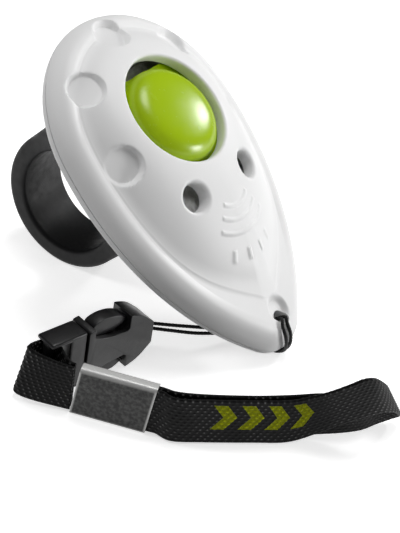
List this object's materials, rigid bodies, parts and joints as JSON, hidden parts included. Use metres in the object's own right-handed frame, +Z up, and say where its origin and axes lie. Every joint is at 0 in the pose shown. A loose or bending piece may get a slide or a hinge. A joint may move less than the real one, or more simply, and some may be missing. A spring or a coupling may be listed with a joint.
{
  "type": "clicker trainer",
  "caption": "Finger-worn training clicker with a push button, steel click leaf, finger ring, cord, side-release buckle, crimp and webbing wrist loop.",
  "frame": {"origin": "the centre of the finger ring's bore", "axes": "+Y along the bore of the finger ring, +Z up with the part resting on its ring and nose, +X towards the nose and the lanyard; the floor is at z = -14.8 mm"},
  "size_m": [0.0942, 0.0712, 0.0531],
  "materials": {
    "shell_white": "satin",
    "button_lime": "satin",
    "leaf_steel": "textured",
    "plate_steel": "brushed",
    "screw_steel": "plated",
    "ring_rubber": "matt",
    "cord_black": "braided",
    "ferrule_brass": "plain",
    "buckle_black": "satin",
    "web_black": "woven",
    "crimp_metal": "dark mottled"
  },
  "bodies": {
    "case": {"top_shell": "shell_white", "back_shell": "shell_white", "leaf_root": "leaf_steel", "leaf_clamp": "plate_steel", "clamp_screws": "screw_steel", "case_screws": "screw_steel", "finger_ring": "ring_rubber", "ring_plate": "plate_steel", "ring_screws": "screw_steel", "cord_hitch": "cord_black"},
    "button": {"button_cap": "button_lime"},
    "leaf": {"click_leaf": "leaf_steel"},
    "cord": {"cord_strands": "cord_black"},
    "buckle": {"buckle_socket": "buckle_black", "cord_ferrule": "ferrule_brass", "buckle_plug": "buckle_black"},
    "arm_upper": {"latch_arm_upper": "buckle_black"},
    "arm_lower": {"latch_arm_lower": "buckle_black"},
    "strap": {"buckle_webbing": "web_black", "strap_crimp": "crimp_metal", "wrist_webbing": "web_black"}
  },
  "joints": [
    {"name": "button_press", "type": "slide", "parent": "case", "child": "button", "axis": [-0.5609, 0, -0.8279], "range_m": [0, 0.0012], "stiffness_N_per_m": 1500},
    {"name": "leaf_flex", "type": "hinge", "parent": "case", "child": "leaf", "pos_m": [0.00468, 0, 0.02875], "axis": [0, 1, 0], "range_deg": [0, 5.9]},
    {"name": "cord_swing", "type": "hinge", "parent": "case", "child": "cord", "pos_m": [0.04257, 0, -0.01321], "axis": [0, 0, 1], "range_deg": [-30, 20]},
    {"name": "buckle_swing", "type": "hinge", "parent": "cord", "child": "buckle", "pos_m": [0.02941, -0.01889, -0.0086], "axis": [0, 0, 1], "range_deg": [-20, 20]},
    {"name": "strap_swing", "type": "hinge", "parent": "buckle", "child": "strap", "pos_m": [0.0236, -0.0412, -0.0086], "axis": [0, 0, -1], "range_deg": [-5, 60]},
    {"name": "latch_squeeze", "type": "hinge", "parent": "buckle", "child": "arm_upper", "pos_m": [0.02552, -0.03385, -0.005], "axis": [-0.9677, 0.2521, 0], "range_deg": [0, 8]},
    {"name": "latch_squeeze_lower", "type": "hinge", "parent": "buckle", "child": "arm_lower", "pos_m": [0.02552, -0.03385, -0.0122], "axis": [0.9677, -0.2521, 0], "range_deg": [0, 8.01]}
  ],
  "couplings": [
    {"joint": "leaf_flex", "follows": "button_press", "rad_per_m": 84.794},
    {"joint": "latch_squeeze_lower", "follows": "latch_squeeze", "ratio": 1}
  ]
}
